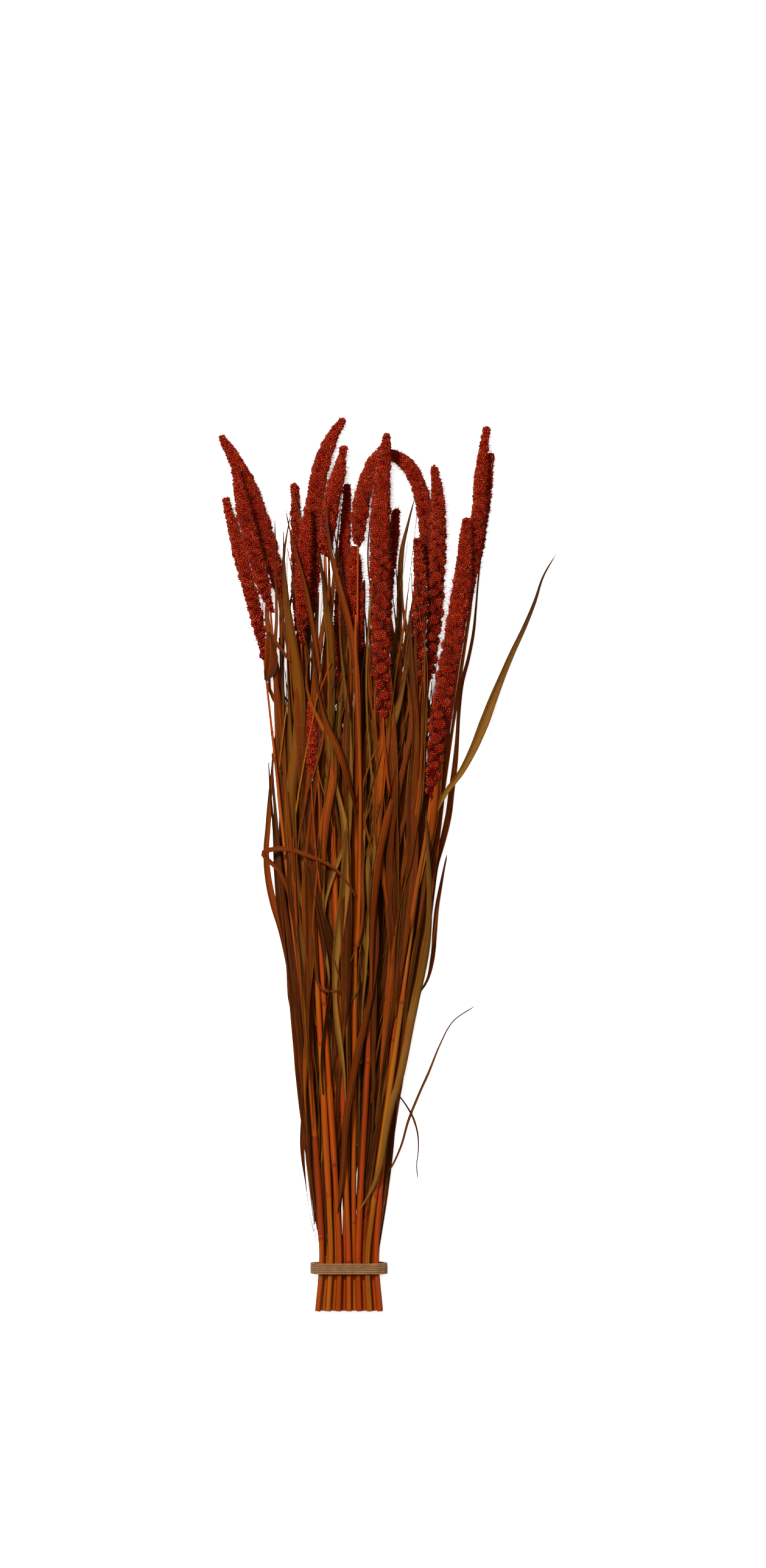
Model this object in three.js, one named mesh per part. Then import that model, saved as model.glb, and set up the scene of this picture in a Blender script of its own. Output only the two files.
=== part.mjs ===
// A tied bunch of dried foxtail millet that lies on a surface: stems, the seed head at the end of each
// stem, the leaves that grow on the stems, and the band that ties the stems near their cut ends.
// Millimetres. X runs across the bunch, Y from the cut ends to the tips, Z up from the surface.
import * as THREE from "three";

// Stems, from the cut end to the neck under the seed head
const STEM_RADIUS = 2.3;
const NECK_RADIUS = 1.25;
const NECK_GAP = 0.5; // between the end of a stem and its seed head

// The tie: a band round the stems, which are packed in layers inside it
const BAND_X = -5;
const BAND_Y = 35;
const BAND_WIDTH = 9;
const BAND_THICKNESS = 1.6;
const BAND_SLACK = 5.4; // the round ends of the band stand this far off the outermost stems
const SLOT_PITCH = 7.4; // from stem to stem in a layer
const LAYER_PITCH = 6.2; // from layer to layer
const END_FLARE = 1.15; // how far the stems spread again between the band and the cut ends
const BAND_ROWS = [
  ["03", "04", "05", "09", "18", "12", "16"],
  ["01", "06", "11", "20", "13", "15"],
  ["02", "08", "19", "07", "10", "17", "14"],
]; // the plants from left to right in each layer, the lowest layer first

// How the bunch lies
const HEAD_RISE = [0, 11, 22]; // underside of each layer's seed heads above the surface, at their bases
const AIR = 0.5; // kept between pieces that lie on each other
const SAMPLE = 3; // spacing of the points that are tested for contact
const STEM_BEND = 0.0005; // curvature a stem takes as it bridges what is under it, per millimetre
const LEAF_BEND = 0.0012;

// Leaves
const LEAF_HALF_THICKNESS = 0.6;
const LEAF_BED = [1.5, 2, 4.5]; // room under the leaves of each layer for the thin small leaves between
const LEAF_TIP_SHARE = 0.1; // of the greatest width

// Facets: the length of one step along a piece, and the sides of its section
const STEM_STEP = 42;
const STEM_SIDES = 6;
const HEAD_STEP = 18;
const HEAD_SIDES = 8;
const LEAF_STEP = 22;
const LEAF_SIDES = 4;
const FEWEST_STEPS = 6;

// Each plant: the middle line of its seed head from base to tip as [x, y], and the head's diameter. The
// plants of a layer are laid down in this order.
const PLANTS = [
  {
    name: "01",
    head: [[-74.5, 534], [-79.5, 564], [-90, 604], [-100.5, 644], [-106, 664]],
    diameter: 12.5,
  },
  {
    name: "02",
    head: [[-69, 573], [-75, 594], [-86, 634], [-95, 674], [-98, 688.5]],
    diameter: 13.5,
  },
  {
    name: "03",
    head: [
      [-57.5, 574.5], [-65, 604], [-73, 634], [-82.5, 664], [-92.5, 686.5], [-101.5, 703],
      [-109, 715.5],
    ],
    diameter: 15,
  },
  { name: "04", head: [[-47, 559], [-48, 624], [-48.5, 654], [-49.5, 676]], diameter: 10.5 },
  {
    name: "05",
    head: [
      [-34.5, 574], [-35, 624], [-33.5, 659], [-30.5, 681.5], [-24.5, 703], [-17, 720],
      [-10.5, 729.5],
    ],
    diameter: 15.5,
  },
  { name: "06", head: [[-21.5, 624], [-18.5, 659], [-14, 686.5], [-9, 706.5]], diameter: 10 },
  {
    name: "07",
    head: [[-24.5, 619], [-21, 651.5], [-16.5, 674], [-10, 695.5]],
    diameter: 14.5,
  },
  { name: "08", head: [[-44, 547], [-43, 579], [-41.5, 619], [-39, 656]], diameter: 13.5 },
  { name: "09", head: [[-13, 509], [-12, 564], [-9, 624], [-6.5, 675.5]], diameter: 11.5 },
  {
    name: "10",
    head: [[24, 483], [22, 529], [20.5, 574], [20.5, 634], [22, 679], [26, 715.5]],
    diameter: 18.5,
  },
  { name: "11", head: [[1.5, 541], [0, 574], [-0.5, 604], [0, 624]], diameter: 16 },
  {
    name: "12",
    head: [
      [60, 594], [59, 629], [56.5, 659], [51, 679], [43.5, 692.5], [34, 700], [25.5, 701.5],
      [19.5, 697], [16.5, 689],
    ],
    diameter: 13.5,
  },
  {
    name: "13",
    head: [[60.5, 519], [64, 554], [66.5, 594], [68, 634], [67.5, 669], [65, 690]],
    diameter: 15,
  },
  { name: "14", head: [[53.5, 513], [52.5, 549], [53.5, 594], [51, 630.5]], diameter: 13 },
  {
    name: "15",
    head: [[91.5, 574], [96.5, 614], [101.5, 659], [103.5, 691.5], [107.5, 722]],
    diameter: 12.5,
  },
  { name: "16", head: [[99.5, 609], [105, 644], [108.5, 674], [111, 701]], diameter: 8.5 },
  {
    name: "17",
    head: [[62, 423], [65, 449], [70, 489], [77, 529], [83.5, 569], [88.5, 606.5], [91, 646.5]],
    diameter: 18,
  },
  { name: "18", head: [[23.5, 554], [26.5, 599], [30.5, 629], [33.5, 655]], diameter: 12 },
  { name: "19", head: [[-36, 440], [-35.5, 474], [-36, 500.5]], diameter: 10.5 },
  {
    name: "20",
    head: [[2.5, 627.5], [3.5, 649], [7.5, 671.5], [13.5, 690], [20.5, 705]],
    diameter: 15,
  },
];

// Each leaf: the plant it grows on and how far up its stem, the rest of its middle line as [x, y], its
// greatest width and where along it that lies, and the layer of plants that it lies on.
const LEAVES = {
  leaf_long_right: {
    plant: "17",
    from: 335,
    line: [
      [58, 376], [64, 404], [71.5, 420.5], [82.5, 435], [92.5, 451.5], [103.5, 476.5],
      [116, 509], [130, 541.5], [144.5, 573], [155, 603.5], [165.5, 621.5],
    ],
    width: 9,
    widest: 0.55,
    layer: 2,
  },
  leaf_centre_spear: {
    plant: "18",
    from: 360,
    line: [
      [26, 429], [33.5, 479], [36, 519], [36.5, 549], [36.5, 579], [37, 604], [39, 626.5],
      [44.5, 649], [49, 666.5],
    ],
    width: 6.5,
    widest: 0.6,
    layer: 0,
  },
  leaf_narrow_left: {
    plant: "04",
    from: 420,
    line: [
      [-26, 470], [-26.5, 499], [-30.5, 533.5], [-34.5, 557.5], [-39, 585.5], [-46, 613.5],
      [-51.5, 632], [-56.5, 655],
    ],
    width: 4.2,
    widest: 0.4,
    layer: 2,
  },
  leaf_gold: {
    plant: "07",
    from: 400,
    line: [
      [-18.5, 439], [-20, 484], [-19, 524], [-20.5, 554.5], [-23.5, 575.5], [-26, 601],
      [-30.5, 623.5],
    ],
    width: 8.5,
    widest: 0.6,
    layer: 2,
  },
  leaf_crossing: {
    plant: "20",
    from: 415,
    line: [
      [2.5, 459], [2.5, 499], [0.5, 529], [-2, 547.5], [-6.5, 568.5], [-12, 589.5],
      [-17.5, 610.5], [-21.5, 632], [-23.5, 660],
    ],
    width: 6.5,
    widest: 0.5,
    layer: 2,
  },
  leaf_folded: {
    plant: "01",
    from: 318,
    line: [
      [-56.5, 350.5], [-66, 366], [-72, 372.5], [-75.5, 377], [-72, 380.5], [-63, 380],
      [-49, 376], [-34, 371.5], [-20, 365], [-8.5, 354.5], [5.5, 329.5],
    ],
    width: 5,
    widest: 0.45,
    layer: 2,
  },
  leaf_left_edge: {
    plant: "03",
    from: 184,
    line: [
      [-49, 254], [-58.5, 304], [-68.5, 339], [-73, 369], [-71.5, 399], [-69.5, 429],
      [-66.5, 464], [-63.5, 489], [-64.5, 526.5],
    ],
    width: 6.2,
    widest: 0.45,
    layer: 0,
  },
  leaf_right_edge: {
    plant: "16",
    from: 235,
    line: [
      [55.5, 279], [61.5, 324], [64, 347.5], [67.5, 370], [73, 389], [78, 414], [79.5, 429],
      [82.5, 454], [84.5, 484], [86.5, 509], [91.5, 529], [96, 548], [99, 574], [101.5, 604],
      [105.5, 641.5],
    ],
    width: 5.6,
    widest: 0.4,
    layer: 0,
  },
  leaf_hanging: {
    plant: "15",
    from: 250,
    line: [[60, 272], [63, 285.5], [67, 329.5], [71.5, 354.5], [75.5, 374]],
    width: 5,
    widest: 0.4,
    layer: 1,
  },
  leaf_low_stalk: {
    plant: "13",
    from: 98,
    line: [
      [34, 123], [39, 142], [47, 164.5], [56.5, 186.5], [66, 207.5], [75.5, 231.5], [86, 241],
      [98.5, 249.5],
    ],
    width: 2.6,
    widest: 0.3,
    layer: 1,
  },
  leaf_tendril: {
    plant: "15",
    from: 178,
    line: [[43.5, 166], [50, 151.5], [52, 135.5], [50.5, 118], [51.5, 106.5]],
    width: 1.8,
    widest: 0.3,
    layer: 1,
  },
  leaf_looped: {
    plant: "08",
    from: 322,
    line: [
      [-33.5, 294], [-31.5, 279], [-27, 264.5], [-20, 256], [-14.5, 261.5], [-13.5, 276.5],
      [-18.5, 290], [-23, 301.5],
    ],
    width: 3.2,
    widest: 0.3,
    layer: 2,
  },
  leaf_front_broad: {
    plant: "19",
    from: 80,
    line: [
      [-10, 115], [-7.5, 154.5], [-1, 194.5], [5.5, 226.5], [12.5, 254], [17.5, 294],
      [16.5, 334], [11.5, 374],
    ],
    width: 8,
    widest: 0.4,
    layer: 2,
  },
  leaf_right_broad: {
    plant: "10",
    from: 82,
    line: [
      [18.5, 111.5], [28, 162.5], [37.5, 194.5], [43.5, 226.5], [50, 258.5], [56.5, 290],
      [60.5, 329], [60, 364], [57.5, 409],
    ],
    width: 8.5,
    widest: 0.45,
    layer: 2,
  },
  leaf_orange: {
    plant: "10",
    from: 262,
    line: [
      [13.5, 290], [15.5, 333.5], [19.5, 368.5], [25, 396.5], [30.5, 424.5], [38, 460],
      [42, 485],
    ],
    width: 6.5,
    widest: 0.45,
    layer: 2,
  },
  leaf_olive: {
    plant: "11",
    from: 250,
    line: [
      [7.5, 280], [9.5, 333.5], [11.5, 410], [14.5, 448.5], [15.5, 482], [13.5, 530],
      [11.5, 569],
    ],
    width: 9,
    widest: 0.45,
    layer: 1,
  },
  leaf_brown_right: {
    plant: "14",
    from: 240,
    line: [
      [36, 270], [42.5, 324], [47, 374], [46.5, 414], [48.5, 449], [49.5, 477], [46.5, 525],
      [44.5, 574],
    ],
    width: 10,
    widest: 0.45,
    layer: 2,
  },
  leaf_diagonal: {
    plant: "11",
    from: 285,
    line: [
      [5.5, 314], [5.5, 359], [2.5, 396.5], [-3, 424.5], [-14, 460], [-25.5, 488],
      [-32.5, 523], [-35.5, 549],
    ],
    width: 6,
    widest: 0.45,
    layer: 2,
  },
  leaf_left_spear: {
    plant: "02",
    from: 350,
    line: [
      [-52.5, 389], [-57.5, 449], [-62.5, 499], [-65.5, 534], [-64, 564], [-64.5, 594],
      [-65, 624], [-65.5, 648.5],
    ],
    width: 4.6,
    widest: 0.4,
    layer: 2,
  },
};

const { lerp, smoothstep } = THREE.MathUtils;

const COLOURS = {
  head: new THREE.MeshStandardMaterial({ color: 0x7d1a10, roughness: 0.6, metalness: 0 }),
  stem: new THREE.MeshStandardMaterial({ color: 0xa8541a, roughness: 0.55, metalness: 0 }),
  leaf: new THREE.MeshStandardMaterial({ color: 0x7a4a18, roughness: 0.65, metalness: 0 }),
  band: new THREE.MeshStandardMaterial({ color: 0xb89a68, roughness: 0.8, metalness: 0 }),
};

// The radius of a seed head as a share of its greatest, from its base at 0 to its tip at 1
function headSwell(t) {
  const base = 1 - 0.58 * (1 - Math.min(t / 0.35, 1)) ** 2;
  const tip = 1 - 0.64 * Math.max(0, (t - 0.45) / 0.55) ** 3.2;
  return base * tip;
}

// The width of a leaf as a share of its greatest, from its base at 0 to its tip at 1
function leafSpread(t, widest) {
  const base = lerp(0.4, 1, smoothstep(t, 0, widest));
  const tip = 1 - (1 - LEAF_TIP_SHARE) * Math.max(0, (t - widest) / (1 - widest)) ** 1.7;
  return base * tip;
}

// Points at an even spacing along a smooth line through [x, y] points
function plan(points) {
  const knots = points.map(([x, y]) => new THREE.Vector3(x, y, 0));
  const curve = new THREE.CatmullRomCurve3(knots, false, "centripetal");
  return curve.getSpacedPoints(Math.ceil(curve.getLength() / SAMPLE));
}

// Where a plant's stem goes through the band, how high its underside is there, and its layer
function slot(name) {
  const layer = BAND_ROWS.findIndex((row) => row.includes(name));
  const row = BAND_ROWS[layer];
  const aside = (row.indexOf(name) - (row.length - 1) / 2) * SLOT_PITCH;
  return { layer, aside, rise: BAND_THICKNESS + AIR + layer * LAYER_PITCH };
}

// A plant before it is laid down: its samples from cut end to tip, how thick it is at each, and how high
// its own stiffness carries the underside
function plantStrand({ head, diameter }, { layer, aside, rise: bandRise }) {
  const [baseX, baseY] = head[0];
  const bandX = BAND_X + aside;
  const lean = (head[1][0] - baseX) / (head[1][1] - baseY);
  const middleY = lerp(BAND_Y, baseY, 0.5);
  const middleX = lerp(bandX, baseX, 0.5) - lean * 8;
  const cutX = BAND_X + aside * END_FLARE;
  const stem = plan([[cutX, 0], [bandX, BAND_Y], [middleX, middleY], [baseX, baseY]]);
  const ear = plan(head);
  const neck = stem.length - 1;
  const line = [...stem, ...ear.slice(1)];
  const half = line.map((p, i) => {
    if (i <= neck) return lerp(STEM_RADIUS, NECK_RADIUS, smoothstep(i / neck, 0.35, 1));
    return (diameter / 2) * headSwell((i - neck) / (ear.length - 1));
  });
  const rise = line.map((p, i) => {
    if (i <= neck) return lerp(bandRise, HEAD_RISE[layer], smoothstep(p.y, BAND_Y, baseY));
    return Math.max(0, HEAD_RISE[layer] - STEM_BEND * ((i - neck) * SAMPLE) ** 2);
  });
  const bed = line.map(() => 0);
  return { line, halfWidth: half, halfHeight: half, rise, bed, bend: STEM_BEND, neck };
}

// A leaf before it is laid down, from the side of its stem to its tip
function leafStrand(leaf, stem) {
  const foot = stem.line.find((p) => p.y >= leaf.from);
  const line = plan([[foot.x, foot.y], ...leaf.line]);
  const last = line.length - 1;
  return {
    line,
    halfWidth: line.map((_, i) => (leaf.width / 2) * leafSpread(i / last, leaf.widest)),
    halfHeight: line.map(() => LEAF_HALF_THICKNESS),
    rise: line.map(() => 0),
    bed: line.map((_, i) => LEAF_BED[leaf.layer] * smoothstep(i / last, 0, 0.3)),
    bend: LEAF_BEND,
  };
}

// Lays a strand on the surface and on everything in the pile. Each sample is lifted clear of what is under
// it, and a stiff strand bridges from one support to the next in a long low curve.
function layDown(strand, pile) {
  const { line, halfWidth, halfHeight, rise, bed, bend } = strand;
  const needed = line.map((p, i) => {
    let height = rise[i] + halfHeight[i];
    for (const under of pile) {
      under.line.forEach((q, j) => {
        const reach = halfWidth[i] + under.halfWidth[j] + AIR;
        const apart = Math.hypot(p.x - q.x, p.y - q.y);
        if (apart >= reach) return;
        const stack = halfHeight[i] + under.halfHeight[j] + AIR + bed[i];
        const lift = stack * Math.sqrt(1 - (apart / reach) ** 2);
        height = Math.max(height, under.height[j] + lift);
      });
    }
    return height;
  });
  strand.height = needed.map((_, i) =>
    needed.reduce((most, z, k) => Math.max(most, z - bend * ((i - k) * SAMPLE) ** 2), 0),
  );
  pile.push(strand);
}

// A closed solid round a stretch of a strand: a lathe spindle with flat ends, bent along the strand and
// flattened to its half width and half height. It stops short of the end of the stretch by a gap.
function spindle(strand, first, last, step, sides, gap = 0) {
  const samples = strand.line.slice(first, last + 1);
  const curve = new THREE.CatmullRomCurve3(
    samples.map((p, i) => new THREE.Vector3(p.x, p.y, strand.height[first + i])),
    false,
    "centripetal",
  );
  const steps = Math.max(FEWEST_STEPS, Math.round(curve.getLength() / step));
  const end = 1 - gap / curve.getLength();
  const profile = [new THREE.Vector2(0, 0)];
  for (let i = 0; i <= steps; i++) profile.push(new THREE.Vector2(1, i / steps));
  profile.push(new THREE.Vector2(0, 1));
  const solid = new THREE.LatheGeometry(profile, sides);
  const place = solid.getAttribute("position");
  const up = new THREE.Vector3(0, 0, 1);
  for (let i = 0; i < place.count; i++) {
    const t = place.getY(i) * end;
    const at = first + Math.round(t * (last - first));
    const along = curve.getTangentAt(t);
    const aside = new THREE.Vector3().crossVectors(along, up).normalize();
    const above = new THREE.Vector3().crossVectors(aside, along);
    const point = curve.getPointAt(t);
    point.addScaledVector(aside, place.getX(i) * strand.halfWidth[at]);
    point.addScaledVector(above, place.getZ(i) * strand.halfHeight[at]);
    place.setXYZ(i, point.x, point.y, point.z);
  }
  solid.computeVertexNormals();
  return solid;
}

// The outline of the band in the XZ plane: flat above and below, round at the ends
function stadium(path, halfWidth, low, high) {
  const radius = (high - low) / 2;
  const middle = low + radius;
  path.moveTo(radius - halfWidth, low);
  path.lineTo(halfWidth - radius, low);
  path.absarc(halfWidth - radius, middle, radius, -Math.PI / 2, Math.PI / 2, false);
  path.lineTo(radius - halfWidth, high);
  path.absarc(radius - halfWidth, middle, radius, Math.PI / 2, (3 * Math.PI) / 2, false);
  return path;
}

// The band round all the stems, resting on the surface
function band(stems) {
  let side = 0;
  let top = 0;
  for (const stem of stems) {
    stem.line.forEach((p, i) => {
      if (Math.abs(p.y - BAND_Y) > BAND_WIDTH) return;
      side = Math.max(side, Math.abs(p.x - BAND_X) + stem.halfWidth[i]);
      top = Math.max(top, stem.height[i] + stem.halfHeight[i] + AIR);
    });
  }
  const reach = side + BAND_SLACK;
  const outline = stadium(new THREE.Shape(), reach + BAND_THICKNESS, 0, top + BAND_THICKNESS);
  outline.holes.push(stadium(new THREE.Path(), reach, BAND_THICKNESS, top));
  const solid = new THREE.ExtrudeGeometry(outline, {
    depth: BAND_WIDTH,
    bevelEnabled: false,
    curveSegments: 8,
  });
  solid.rotateX(Math.PI / 2);
  return solid.translate(BAND_X, BAND_Y + BAND_WIDTH / 2, 0);
}

function named(name, solid, material) {
  const piece = new THREE.Mesh(solid, material);
  piece.name = name;
  return piece;
}

// The bunch is laid down layer by layer: the plants of a layer, then the leaves on them.
const bunch = new THREE.Group();
const pile = [];
const stems = {};
BAND_ROWS.forEach((row, layer) => {
  for (const plant of PLANTS.filter((one) => row.includes(one.name))) {
    const strand = plantStrand(plant, slot(plant.name));
    layDown(strand, pile);
    stems[plant.name] = strand;
    const tip = strand.line.length - 1;
    const stem = spindle(strand, 0, strand.neck, STEM_STEP, STEM_SIDES, NECK_GAP);
    const head = spindle(strand, strand.neck, tip, HEAD_STEP, HEAD_SIDES);
    bunch.add(named(`stem_${plant.name}`, stem, COLOURS.stem));
    bunch.add(named(`seed_head_${plant.name}`, head, COLOURS.head));
  }
  for (const [name, leaf] of Object.entries(LEAVES)) {
    if (leaf.layer !== layer) continue;
    const strand = leafStrand(leaf, stems[leaf.plant]);
    layDown(strand, pile);
    const blade = spindle(strand, 0, strand.line.length - 1, LEAF_STEP, LEAF_SIDES);
    bunch.add(named(name, blade, COLOURS.leaf));
  }
});
bunch.add(named("binding_band", band(Object.values(stems)), COLOURS.band));

// The origin is on the surface, under the middle of the bunch.
const box = new THREE.Box3().setFromObject(bunch);
const middle = box.getCenter(new THREE.Vector3());
bunch.position.set(-middle.x, -middle.y, -box.min.z);

export default bunch;
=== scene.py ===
"""Looks of a tied bunch of dried foxtail millet that lies on a pale floor. Sizes are in metres."""

import math

import bmesh
import bpy
import numpy as np
from bpy.props import FloatProperty, FloatVectorProperty, IntProperty, PointerProperty
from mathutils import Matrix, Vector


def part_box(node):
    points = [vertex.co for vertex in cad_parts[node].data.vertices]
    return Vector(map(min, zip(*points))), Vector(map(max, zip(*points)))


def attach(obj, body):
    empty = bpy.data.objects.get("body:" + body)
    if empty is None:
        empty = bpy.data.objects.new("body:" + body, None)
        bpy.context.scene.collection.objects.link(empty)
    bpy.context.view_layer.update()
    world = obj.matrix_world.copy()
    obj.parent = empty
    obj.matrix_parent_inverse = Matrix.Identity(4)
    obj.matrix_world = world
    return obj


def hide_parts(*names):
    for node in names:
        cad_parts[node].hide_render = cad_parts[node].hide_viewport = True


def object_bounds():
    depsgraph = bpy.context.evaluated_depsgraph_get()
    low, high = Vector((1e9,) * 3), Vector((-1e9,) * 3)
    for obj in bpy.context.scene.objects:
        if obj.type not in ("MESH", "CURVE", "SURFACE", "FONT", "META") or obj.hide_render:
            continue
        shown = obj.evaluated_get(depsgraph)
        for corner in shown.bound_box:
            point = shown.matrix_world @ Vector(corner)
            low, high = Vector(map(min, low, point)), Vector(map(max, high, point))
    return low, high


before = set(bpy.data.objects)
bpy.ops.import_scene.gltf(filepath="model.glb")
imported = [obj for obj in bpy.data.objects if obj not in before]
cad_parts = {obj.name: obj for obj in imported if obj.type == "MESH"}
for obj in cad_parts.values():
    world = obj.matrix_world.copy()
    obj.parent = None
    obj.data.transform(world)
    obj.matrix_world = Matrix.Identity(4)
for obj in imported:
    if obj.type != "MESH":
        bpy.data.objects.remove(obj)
CAD_BOX = [list(corner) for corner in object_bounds()]

bl_info = {
    "name": "Millet Bunch",
    "version": (1, 0, 0),
    "blender": (4, 5, 0),
    "location": "View3D > Sidebar > Millet",
    "description": "Builds the seed heads, stems, leaves and tie of a dried bunch on its frame",
    "category": "Object",
}

BODY = "root"
HEADS = sorted(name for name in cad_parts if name.startswith("seed_head_"))
STEMS = sorted(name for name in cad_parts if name.startswith("stem_"))
LEAVES = sorted(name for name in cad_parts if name.startswith("leaf_"))
TIE = "binding_band"

# The first random seed of each kind of piece.
HEAD_SEED = 100
STEM_SEED = 300
LEAF_SEED = 500
TIE_SEED = 700

# How far apart the points along a piece are, and those along the stems that small leaves lie on.
HEAD_STEP = 0.001
STEM_STEP = 0.004
LEAF_STEP = 0.004
LAYER_STEP = 0.005

GOLDEN_ANGLE = math.pi * (3 - math.sqrt(5))
UP = np.array((0.0, 0.0, 1.0))
ALONG_Y = np.array((0.0, 1.0, 0.0))
# The least that a point may be on each axis: nothing is below the floor.
ON_FLOOR = np.array((-math.inf, -math.inf, 0.0))

# The photograph's frame: its size in pixels, how much one pixel shows, and where it holds the bunch's
# highest tip and the tip of its longest leaf.
PHOTO_SIZE = (1258, 2576)
PIXEL = 0.0005
TIP_ROW = 689
LEAF_TIP_COLUMN = 915


# Lines and sections


def unit(vectors):
    """Vectors of the same directions, each of length 1."""
    return vectors / np.linalg.norm(vectors, axis=-1, keepdims=True)


def ease(value, low, high):
    """Goes smoothly from 0 at low to 1 at high."""
    share = np.clip((np.asarray(value, float) - low) / (high - low), 0, 1)
    return share * share * (3 - 2 * share)


def lengths(line):
    """How far along a line each of its points is."""
    steps = np.linalg.norm(np.diff(line, axis=0), axis=1)
    return np.concatenate(([0.0], np.cumsum(steps)))


def smooth(line, spacing, *values):
    """A smooth line through the points at an even spacing, with each point's other values carried along."""
    at = lengths(line)
    slope = np.gradient(line, at, axis=0)
    asked = np.linspace(0, at[-1], max(2, round(at[-1] / spacing)) + 1)
    i = np.clip(np.searchsorted(at, asked, side="right") - 1, 0, len(at) - 2)
    width = (at[i + 1] - at[i])[:, None]
    t = (asked - at[i])[:, None] / width
    start = (1 + 2 * t) * (1 - t) ** 2 * line[i] + t * (1 - t) ** 2 * width * slope[i]
    end = t * t * (3 - 2 * t) * line[i + 1] + t * t * (t - 1) * width * slope[i + 1]
    return (start + end, *(np.interp(asked, at, value) for value in values))


def directions(line, level=UP):
    """The directions along a line, to its right and above it."""
    along = unit(np.gradient(line, axis=0))
    aside = unit(np.cross(along, level))
    return along, aside, np.cross(aside, along)


def sections(node):
    """The rings of corners of a long CAD solid, from one end to the other."""
    solid = bmesh.new()
    solid.from_mesh(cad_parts[node].data)
    bmesh.ops.remove_doubles(solid, verts=solid.verts, dist=1e-6)

    def far_corners(corner):
        return [edge.other_vert(corner) for edge in corner.link_edges]

    def is_pole(corner):
        return all(len(near.link_edges) == 5 for near in far_corners(corner))

    ring, seen, rings = [next(filter(is_pole, solid.verts))], set(), []
    while ring:
        rings.append(np.array([corner.co for corner in ring]))
        seen.update(ring)
        near = {corner for one in ring for corner in far_corners(one)} - seen
        ring = sorted(near, key=lambda corner: corner.index)
    solid.free()
    return rings[1:-1]


def spine(node, spacing):
    """The middle line of a stem or head from its lower end, and its radius at each point."""
    rings = sorted_up(sections(node))
    middle = np.array([ring.mean(0) for ring in rings])
    radius = [np.linalg.norm(ring - ring.mean(0), axis=1).mean() for ring in rings]
    return smooth(middle, spacing, radius)


def sorted_up(rings):
    """A row of rings from its end near the cut to its end near the tips."""
    return rings if rings[0][:, 1].mean() < rings[-1][:, 1].mean() else rings[::-1]


def blade_spine(node, spacing):
    """The middle line of a leaf from its wide end, and its half width at each point."""
    rings = sections(node)
    middle = np.array([ring.mean(0) for ring in rings])
    half = np.array([np.linalg.norm(ring - ring.mean(0), axis=1).max() for ring in rings])
    if half[0] < half[-1]:
        middle, half = middle[::-1], half[::-1]
    return smooth(middle, spacing, half)


# Meshes


class Shape:
    """The points, faces and point values of one piece, gathered part by part."""

    def __init__(self):
        self.points, self.faces, self.paints, self.values = [], [], [], {}
        self.count = 0

    def add(self, points, faces, paint=0, **values):
        """Adds points, faces that count from the first of them, and values that are given per point."""
        self.points.append(np.maximum(points, ON_FLOOR))
        self.faces.append(faces + self.count)
        self.paints.append(np.full(len(faces), paint))
        self.count += len(points)
        for name, value in values.items():
            shape = (len(points), *np.shape(value)[1:]) if np.ndim(value) else (len(points),)
            self.values.setdefault(name, []).append(np.broadcast_to(value, shape))

    def piece(self, name, slot, materials, replaced=()):
        """Makes the object, which rides on the bunch and takes the place of CAD nodes."""
        mesh = bpy.data.meshes.new(name)
        corners = np.concatenate([faces.ravel() for faces in self.faces])
        sizes = np.concatenate([np.full(len(faces), faces.shape[1]) for faces in self.faces])
        mesh.vertices.add(self.count)
        mesh.loops.add(len(corners))
        mesh.polygons.add(len(sizes))
        mesh.vertices.foreach_set("co", np.concatenate(self.points).astype(np.float32).ravel())
        mesh.loops.foreach_set("vertex_index", corners.astype(np.int32))
        starts = np.concatenate(([0], np.cumsum(sizes)[:-1])).astype(np.int32)
        mesh.polygons.foreach_set("loop_start", starts)
        mesh.polygons.foreach_set("material_index", np.concatenate(self.paints).astype(np.int32))
        mesh.update(calc_edges=True)
        mesh.shade_smooth()
        for key, parts in self.values.items():
            value = np.concatenate(parts).astype(np.float32)
            kind, field = ("FLOAT", "value") if value.ndim == 1 else ("FLOAT_VECTOR", "vector")
            mesh.attributes.new(key, kind, "POINT").data.foreach_set(field, value.ravel())
        for material in materials:
            mesh.materials.append(material)
        made = bpy.data.objects.new(name, mesh)
        bpy.context.collection.objects.link(made)
        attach(made, BODY)
        if replaced:
            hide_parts(*replaced)


def per_point(value, count, sides):
    """A value for each point of a row of rings, where one is given for all, each ring or each point."""
    value = np.asarray(value, float)
    if value.ndim == 0:
        return np.full(count * sides, value)
    return np.repeat(value, sides, 0) if len(value) == count else value


def with_middle(ring):
    """The rows of a ring, and after them their mean."""
    return np.concatenate((ring, ring.mean(0, keepdims=True)))


def skin(shape, rings, paint=0, closed=False, **values):
    """Adds a skin over a row of rings. Its ends are filled, unless the row closes on itself."""
    count, sides = rings.shape[:2]
    index = np.arange(count * sides).reshape(count, sides)
    here, there = (index, np.roll(index, -1, 0)) if closed else (index[:-1], index[1:])
    quads = np.stack((here, there, np.roll(there, -1, 1), np.roll(here, -1, 1)), -1).reshape(-1, 4)
    full = {key: per_point(value, count, sides) for key, value in values.items()}
    shape.add(rings.reshape(-1, 3), quads, paint, **full)
    if closed:
        return
    corner = np.arange(sides)
    after = np.roll(corner, -1)
    middle = np.full(sides, sides)
    for end, fan in ((0, (middle, corner, after)), (-1, (middle, after, corner))):
        ends = {
            key: with_middle(value.reshape(count, sides, *value.shape[1:])[end])
            for key, value in full.items()
        }
        shape.add(with_middle(rings[end]), np.stack(fan, -1), paint, **ends)


def round_rings(line, radius, sides, level=UP):
    """Rings of points round a line, at a radius for each point or for each ring."""
    _, aside, above = directions(line, level)
    turn = np.arange(sides) / sides * 2 * math.pi
    radius = np.asarray(radius, float).reshape(len(line), -1, 1)
    wheel = np.cos(turn)[:, None] * aside[:, None] + np.sin(turn)[:, None] * above[:, None]
    return line[:, None] + wheel * radius


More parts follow.
